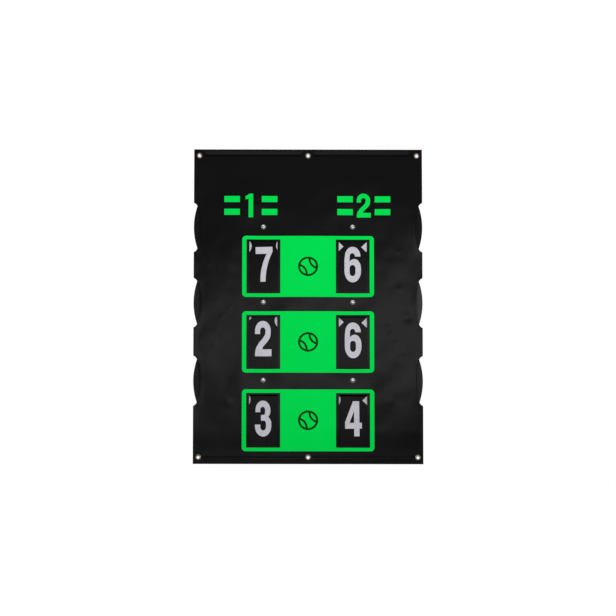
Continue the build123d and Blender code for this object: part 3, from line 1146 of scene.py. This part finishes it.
@dataclass(frozen=True)
class FrontSheet(HungSheet):
    """Front tarpaulin: windows, scoops, and a hem turned over at the top and bottom.

    Fields: middle radius of the fold, and the length of the ply behind it; runs of grid
    lines over the weld; their spacing before the fold and round it.
    """

    fold: float = 0.8
    ply: float = 23.9
    over_weld: tuple[Point, ...] = ((400.0, 2.7), (408.0, 0.8), (412.0, 2.0))
    round_fold: Point = (1.2, 0.32)

    @property
    def fold_z(self) -> float:
        """Z where the fold starts: the board's edge less the fold's outer radius."""
        return BOARD.half_height - self.fold - BOARD.sheet / 2

    @property
    def rise(self) -> float:
        """Length from the middle to the end of a fold."""
        return self.fold_z + pi * self.fold

    @property
    def behind(self) -> float:
        """Length from the middle to the eyelets' holes in the ply behind."""
        return self.fold_z + self.rise - BOARD.eyelet_z

    def placed(self, x: Array, v: Array) -> Array:
        """Fold the flat cut round the board's top and bottom edges.

        Formula: v is Z on the front. From the fold's start the sheet goes through a half
        turn and then runs back behind. With a the turn so far, Y is half the sheet plus
        fold (1 - cos a), less the drape's lift, and Z is the fold's start plus fold sin a,
        less what has run back.

        Args:
            x, v: places on the flat cut.

        Returns:
            The points, one row each.
        """
        over = np.abs(v) - self.fold_z
        turn = np.clip(over, 0, pi * self.fold) / self.fold
        height = (np.minimum(np.abs(v), self.fold_z) + self.fold * np.sin(turn)
                  - np.maximum(over - pi * self.fold, 0))
        lift = np.where(over < 0, DRAPE.front(x, v), 0)
        y = BOARD.sheet / 2 + self.fold * (1 - np.cos(turn)) - lift
        return np.stack((x, y, np.sign(v) * height), axis=1)

    def distance(self, x: Array, v: Array) -> Array:
        """Signed distance to the flat cut's outline, which has two holes an eyelet.

        Args:
            x, v: places on the flat cut.

        Returns:
            The distances.
        """
        distance = BOARD.board_distance(x, v, self.rise + self.ply)
        distance = np.maximum(distance, -BOARD.below_pivots(x, v, BOARD.window_half))
        distance = pierced(distance, x, v, BOARD.pivots(), self.post_hole)
        holes = [(ex, place) for ex, _ in BOARD.eyelets()[:3]
                 for place in (BOARD.eyelet_z, self.behind)]
        return pierced(distance, x, np.abs(v), holes, self.eyelet_hole)

    def build(self) -> None:
        """Build the sheet, with close grid lines at the weld, the fold and the holes."""
        half, (before, on) = self.rise + self.ply, self.round_fold
        edge = lines(BOARD.close_z, *self.over_weld, (self.fold_z, before), (self.rise, on),
                     (self.behind - BOARD.near, BOARD.plies),
                     (self.behind + BOARD.near, BOARD.close), (half, BOARD.plies))
        window = 4 * BOARD.window_half[0] * BOARD.window_half[1]
        self.hang("front", edge, half, 2 * half, 6 * (window + BOARD.scoop_area), ["eyelets"])


@dataclass(frozen=True)
class BackSheet(HungSheet):
    """Back tarpaulin: its ends lie in the hems, and the rest steps out behind the discs.

    Fields: middle Y in the hems and behind the discs; Z where the step ends, and its
    height; Z of the sheet's end inside the fold; runs of grid lines over the step.
    """

    hem_y: float = 1.2
    pocket_y: float = 8.8
    step_z: float = 395.6
    step_height: float = 6.2
    end_z: float = 419.3
    over_step: tuple[Point, ...] = ((396.0, 0.5), (412.0, 3.0))

    def placed(self, x: Array, v: Array) -> Array:
        """Stand the sheet off behind the discs.

        Formula: Y rises from the hem's to the pocket's by a smooth step that starts
        step_z from the middle, plus the drape's lift behind the discs.

        Args:
            x, v: places on the flat cut.

        Returns:
            The points, one row each.
        """
        step = smooth((self.step_z - np.abs(v)) / self.step_height)
        y = self.hem_y + (self.pocket_y - self.hem_y) * step + DRAPE.back(x, v)
        return np.stack((x, y, v), axis=1)

    def distance(self, x: Array, v: Array) -> Array:
        """Signed distance to the flat cut's outline.

        Args:
            x, v: places on the flat cut.

        Returns:
            The distances.
        """
        distance = BOARD.board_distance(x, v, self.end_z)
        distance = pierced(distance, x, v, BOARD.pivots(), self.post_hole)
        return pierced(distance, x, v, BOARD.eyelets(), self.eyelet_hole)

    def build(self) -> None:
        """Build the sheet, with close grid lines over each step."""
        edge = lines(BOARD.close_z, *self.over_step, (self.end_z, BOARD.plies))
        length = 2 * self.end_z + (self.pocket_y - self.hem_y)
        self.hang("back", edge, self.end_z, length, 6 * BOARD.scoop_area,
                  ["eyelets", "front_tarpaulin"])


def lay_film(name: str, cut: Cut, under: float, thickness: float,
             finish: Finish) -> bpy.types.Object:
    """Lay a film on the draped front sheet.

    Formula: each point stands off the sheet's flat front face by the drape's lift, by
    what is under the film, and by half of the film's own thickness.

    Args:
        name: the piece's name.
        cut: its flat outline.
        under: thickness of the films that it lies on.
        thickness: its own.
        finish: its finish.

    Returns:
        The film, riding on the board.
    """
    y = -DRAPE.front(cut.u, cut.v) - under - thickness / 2
    points, quads = thickened(np.stack((cut.u, y, cut.v), axis=1), cut.quads, thickness)
    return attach(give(mesh_object(name, points, quads), finish), "board")


@dataclass(frozen=True)
class ScorePanel:
    """Green panel round both windows of a row, with a ball sign in its middle.

    Fields: the row; film thickness and corner radius; spacing of the panel's grid, and at
    its borders across and up; the sign's radius, line width, and its seams' radius,
    distance from its middle and slant; the ink's thickness.
    """

    row: Row
    film: float = 0.4
    corner: float = 10.0
    pitch: float = 3.4
    borders: Point = (1.75, 1.65)
    ball: float = 26.0
    line: float = 5.4
    seam: float = 24.0
    seam_away: float = 34.0
    slant: float = 35.0
    ink: float = 0.12

    def panel_distance(self, x: Array, z: Array) -> Array:
        """Signed distance to the panel: a rounded rectangle less its cut-outs."""
        outline = box_distance(x, z, (0, BOARD.window_z(self.row)), BOARD.panel_half, self.corner)
        return np.maximum(outline, -BOARD.below_pivots(x, z, BOARD.cutout_half))

    def ball_distance(self, x: Array, z: Array) -> Array:
        """Signed distance to the ball sign: a ring, and two arcs kept inside it.

        Args:
            x, z: the points' places.

        Returns:
            The distances.
        """
        centre = (0.0, BOARD.window_z(self.row))
        from_middle = circle_distance(x, z, centre, self.ball - self.line / 2)
        sign = np.abs(from_middle) - self.line / 2
        for way in (-self.seam_away, self.seam_away):
            away = way * cos(radians(self.slant)), centre[1] + way * sin(radians(self.slant))
            stroke = np.abs(circle_distance(x, z, away, self.seam)) - self.line / 2
            sign = np.minimum(sign, np.maximum(stroke, from_middle))
        return sign

    def build(self) -> None:
        """Build, dress and place the panel and its sign."""
        half_x, half_z = BOARD.panel_half
        middle = BOARD.window_z(self.row)
        cut_x, cut_z = BOARD.cutout_half
        across, up = self.borders
        xs = mirrored(lines(0, (BOARD.pivot_x - cut_x, self.pitch),
                            (BOARD.pivot_x + cut_x, self.pitch), (half_x, across)))
        zs = middle + mirrored(lines(0, (cut_z, self.pitch), (half_z, up)))
        panel = lay_film(f"green_panel_{self.row.label}", cut_grid(xs, zs, self.panel_distance),
                         0.0, self.film, GREEN_FILM)
        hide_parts(f"score_panel_{self.row.label}")
        reach = mirrored(lines(0, (self.ball + MARGIN, FINE)))
        sign = cut_grid(reach, middle + reach, self.ball_distance)
        lay_film(f"ball_sign_{self.row.label}", sign, self.film, self.ink, SIGN_INK)


@dataclass(frozen=True)
class SideSign:
    """Plain numeral between bars above a side's discs, 1 on the left and 2 on the right.

    Fields: the side; the sign's middle X and lowest Z; the numeral's height and width;
    the bars' reach, gap to the numeral, thickness and heights; spacing of grid lines
    between the bars, along them and up; the film's thickness.
    """

    side: Side
    middle_x: float
    foot_z: float = 236.5
    height: float = 63.5
    width: float = 37.0
    reach: float = 69.0
    gap: float = 10.0
    bar: float = 16.5
    bars_at: Point = (14.5, 49.0)
    spacing: Triple = (8.0, 2.6, 1.6)
    film: float = 0.12

    @property
    def inner(self) -> float:
        """How far from the sign's middle its bars start."""
        return self.width / 2 + self.gap

    def bars_distance(self, x: Array, z: Array) -> Array:
        """Signed distance to the four bars, two on each side of the numeral.

        Args:
            x, z: the points' places.

        Returns:
            The distances.
        """
        centre, half = (self.inner + self.reach) / 2, (self.reach - self.inner) / 2
        each = [box_distance(np.abs(x - self.middle_x), z, (centre, self.foot_z + at),
                             (half, self.bar / 2)) for at in self.bars_at]
        return np.minimum.reduce(each)

    def bars(self) -> Cut:
        """Cut the bars from flat film.

        Returns:
            The cut grid.
        """
        between, along, upward = self.spacing
        ends = [self.foot_z + at + way * self.bar / 2 for at in self.bars_at for way in (-1, 1)]
        across = mirrored(lines(0, (self.inner, between), (self.reach, along)))
        up = lines(ends[0], *((end, upward) for end in ends[1:]))
        return cut_grid(self.middle_x + across, up, self.bars_distance)

    def numeral(self) -> Cut:
        """Cut the numeral from flat film, with grid lines through the stem's edges in 1.

        Returns:
            The cut grid.
        """
        size = (self.width / Numerals.WIDTH, self.height / Numerals.HEIGHT)
        loops = [loop * size + (self.middle_x, self.foot_z)
                 for loop in Numerals.LOOPS[1 if self.side is Side.LEFT else 2]]
        reach = self.width / 2 + MARGIN
        across = lines(self.middle_x - reach, (self.middle_x + reach, FINE))
        if self.side is Side.LEFT:
            stem = np.concatenate(loops)[:, 0]
            across = np.unique(np.concatenate((across, stem)).round(3))
        up = lines(self.foot_z, (self.foot_z + self.height, FINE))
        return cut_grid(across, up, lambda x, z: loops_distance(x, z, loops))

    def build(self) -> None:
        """Build, dress and place the bars and the numeral."""
        for name, cut in (("bars", self.bars()), ("numeral", self.numeral())):
            lay_film(f"side_{name}_{self.side.label}", cut, 0.0, self.film, GREEN_FILM)


@dataclass(frozen=True)
class NumberDisc:
    """A disc with the numbers 0 to 7 round it, each upright when it is below the pivot.

    Fields: the row and side; the number shown at rest; how far a number's top lies from
    the pivot; degrees by which the ring of numbers sits askew; the colour of the painted
    sheen on its rim; the ink's thickness, and how deep it lies in the disc's face.
    """

    row: Row
    side: Side
    shown: int
    top: float = 53.2
    askew: float = 0.0
    # Colour of the painted sheen on the disc's rim.
    rim_sheen: str = "#0e0e10"
    ink: float = 0.12
    sunk: float = 0.02

    @property
    def label(self) -> str:
        """The disc's row and side, as in the frame's names."""
        return f"{self.row.label}_{self.side.label}"

    @property
    def pivot(self) -> Point:
        """X and Z of the disc's pivot."""
        return self.side.value * BOARD.pivot_x, BOARD.pivot_z(self.row)

    def numbers(self) -> tuple[Array, Array]:
        """Set the eight numerals round the pivot.

        Formula: a numeral's foot lies top plus its height below the pivot. Number n is
        turned counter-clockwise, as seen, by an eighth of a turn times n less the number
        shown, and by what the ring is askew: (x cos - z sin, x sin + z cos).

        Returns:
            The points, one row each, and the triangles.
        """
        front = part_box(f"number_disc_{self.label}")[0].y / METRE
        points, triangles, count = [], [], 0
        for number in range(len(Numerals.LOOPS)):
            flat, faces = Numerals.film(number, self.ink)
            x, z = flat[:, 0], flat[:, 1] - Numerals.HEIGHT - self.top
            y = front + self.sunk - self.ink / 2 - flat[:, 2]
            angle = radians(360 / len(Numerals.LOOPS) * (number - self.shown) + self.askew)
            points.append(np.stack((x * cos(angle) - z * sin(angle) + self.pivot[0], y,
                                    x * sin(angle) + z * cos(angle) + self.pivot[1]), axis=1))
            triangles.append(faces + count)
            count += len(flat)
        return np.concatenate(points), np.concatenate(triangles)

    def build(self) -> None:
        """Build the numbers, and dress the disc."""
        numbers = give(mesh_object(f"numbers_{self.label}", *self.numbers()), NUMBER_INK)
        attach(numbers, f"disc_{self.label}")
        plastic = DiscPlastic(f"polypropylene_black_{self.label}", "#040404", "#070607", 0.25, 0.31,
                              specular=0.028, relief=0.006, rim_sheen=self.rim_sheen,
                              centre=self.pivot)
        dress_node(f"number_disc_{self.label}", plastic)


def dress_node(name: str, finish: Finish) -> None:
    """Give a CAD node a finish in each of its material slots.

    Args:
        name: the node's name in the frame.
        finish: what it is made of.
    """
    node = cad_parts[name]
    if not node.material_slots:
        node.data.materials.append(None)
    for place in node.material_slots:
        place.material = finish.material()
    log.info("%s: %s", name, finish.name)


class Hardware:
    """Posts, screws, spacers, eyelets and washers, which keep the frame's shapes."""

    FINISHES = {"pivot_post": NICKEL, "pivot_screw": NICKEL, "front_spacer": NYLON,
                "rear_spacer": NYLON}

    def dress(self) -> None:
        """Give every small part its finish."""
        for row in Row:
            for side in Side:
                for kind, finish in self.FINISHES.items():
                    dress_node(f"{kind}_{row.label}_{side.label}", finish)
        dress_node("eyelets", BRASS)
        dress_node("eyelet_washers", BRASS)


# ---- Studio ----


@dataclass(frozen=True)
class SoftBox:
    """A soft light.

    Fields: name; place, the point it faces, and its width and height, in metres; power in
    watts; by how many degrees it is turned in its own plane.
    """

    name: str
    place: Triple
    facing: Triple
    size: Point
    power: float
    turn: float = 0.0

    def build(self) -> None:
        """Hang the light."""
        data = bpy.data.lights.new(self.name, "AREA")
        data.shape, data.energy = "RECTANGLE", self.power
        data.size, data.size_y = self.size
        light = put(self.name, data)
        light.location = self.place
        aim = (Vector(self.facing) - Vector(self.place)).to_track_quat("-Z", "Y")
        light.rotation_euler = (aim @ Quaternion((0, 0, 1), radians(self.turn))).to_euler()


@dataclass(frozen=True)
class Studio:
    """White room, pale floor, soft lights and a long lens a little below the board.

    Fields, in metres, millimetres for the lens, and degrees: the camera's distance, focal
    length, and bearing and elevation as seen from the board; the point it looks at; sensor
    width and clipping; the floor's height, half width, colour and roughness; strength of
    the room's light; the lights.
    """

    distance: float = 15.0
    lens: float = 338.2
    bearing: float = -0.39
    elevation: float = -14.12
    target: Triple = (-0.0002, 0.0, -0.0063)
    sensor: float = 36.0
    clip: Point = (0.1, 100.0)
    floor_z: float = -1.55
    floor_half: float = 40.0
    floor_colour: str = "#ecebe8"
    floor_roughness: float = 0.8
    fill: float = 0.36
    lights: tuple[SoftBox, ...] = (
        SoftBox("overhead_box", (-0.2, -1.1, 1.6), (0, 0, 0), (1.2, 1.2), 15.6),
        SoftBox("sheen_box", (0.2, -1.31, 0.25), (0.2, 0, -0.08), (0.9, 0.3), 9.2, turn=8.0),
        SoftBox("low_box", (-0.22, -1.31, -0.1), (-0.22, 0, -0.42), (0.6, 0.2), 0.9),
        SoftBox("rear_box", (0.8, 2.6, 1.6), (0, 0, 0), (2.0, 2.0), 40.0),
        SoftBox("rear_sheen_box", (-0.1, 1.4, 0.1), (-0.1, 0, 0.1), (0.9, 0.4), 7.0))

    def camera(self) -> None:
        """Set up the camera."""
        data = bpy.data.cameras.new("camera")
        data.lens, data.sensor_width = self.lens, self.sensor
        data.clip_start, data.clip_end = self.clip
        camera = put("camera", data)
        bearing, elevation = radians(self.bearing), radians(self.elevation)
        back = Vector((sin(bearing) * cos(elevation), -cos(bearing) * cos(elevation),
                       sin(elevation)))
        camera.location = Vector(self.target) + back * self.distance
        camera.rotation_euler = (-back).to_track_quat("-Z", "Y").to_euler()
        bpy.context.scene.camera = camera

    def floor(self) -> None:
        """Lay a pale matt floor that is clear from below, as the camera is near it."""
        half = self.floor_half
        corners = np.array(((-half, -half), (half, -half), (half, half), (-half, half)))
        points = np.concatenate((corners, np.full((4, 1), self.floor_z)), axis=1) / METRE
        floor = mesh_object("floor", points, np.array([[0, 1, 2, 3]]))
        paint = bpy.data.materials.new("pale_floor_paint")
        paint.use_nodes = True
        bench = Bench(paint.node_tree)
        bench.shader.inputs["Base Color"].default_value = linear(self.floor_colour)
        bench.shader.inputs["Roughness"].default_value = self.floor_roughness
        sides = bench.add("MixShader", "Shader", {0: bench.add("NewGeometry", "Backfacing"),
                                                  1: bench.shader.outputs["BSDF"],
                                                  2: bench.add("BsdfTransparent", "BSDF")})
        bench.tree.links.new(sides, bench.tree.nodes["Material Output"].inputs["Surface"])
        floor.data.materials.append(paint)

    def world(self) -> None:
        """Light the room evenly, and show it white to the camera, metal and glass."""
        world = bpy.data.worlds.new("white_room")
        bpy.context.scene.world = world
        world.use_nodes = True
        bench = Bench(world.node_tree)
        camera, glossy, through_glass = (bench.add("LightPath", f"Is {kind} Ray")
                                         for kind in ("Camera", "Glossy", "Transmission"))
        seen = bench.maths("MAXIMUM", bench.maths("MAXIMUM", camera, glossy), through_glass)
        room = bench.tree.nodes["Background"]
        bench.tree.links.new(bench.ramp(seen, start=self.fill), room.inputs["Strength"])
        room.inputs["Color"].default_value = (1, 1, 1, 1)

    def build(self) -> None:
        """Set up the camera, floor, room and lights."""
        bpy.context.scene.view_settings.view_transform = "Standard"
        self.camera()
        self.floor()
        self.world()
        for light in self.lights:
            light.build()


# The rim colours given to the discs are painted sheen, lightest on the middle right, where the
# light falls brightest.
DISCS = (NumberDisc(Row.TOP, Side.LEFT, 7, askew=1.5),
         NumberDisc(Row.TOP, Side.RIGHT, 6),
         NumberDisc(Row.MIDDLE, Side.LEFT, 2, top=49.8, rim_sheen="#1b1a1a"),
         NumberDisc(Row.MIDDLE, Side.RIGHT, 6, askew=0.4, rim_sheen="#2e2e2f"),
         NumberDisc(Row.BOTTOM, Side.LEFT, 3, rim_sheen="#151514"),
         NumberDisc(Row.BOTTOM, Side.RIGHT, 4, askew=0.6, rim_sheen="#1b1b1c"))


def main() -> None:
    """Build the studio and every sub-assembly in order."""
    logging.basicConfig(level=logging.INFO, format="%(name)s: %(message)s")
    Studio().build()
    FrontSheet().build()
    BackSheet().build()
    for row in Row:
        ScorePanel(row).build()
    SideSign(Side.LEFT, -149.0).build()
    SideSign(Side.RIGHT, 145.0).build()
    for disc in DISCS:
        disc.build()
    Hardware().dress()


if __name__ == "__main__":
    main()
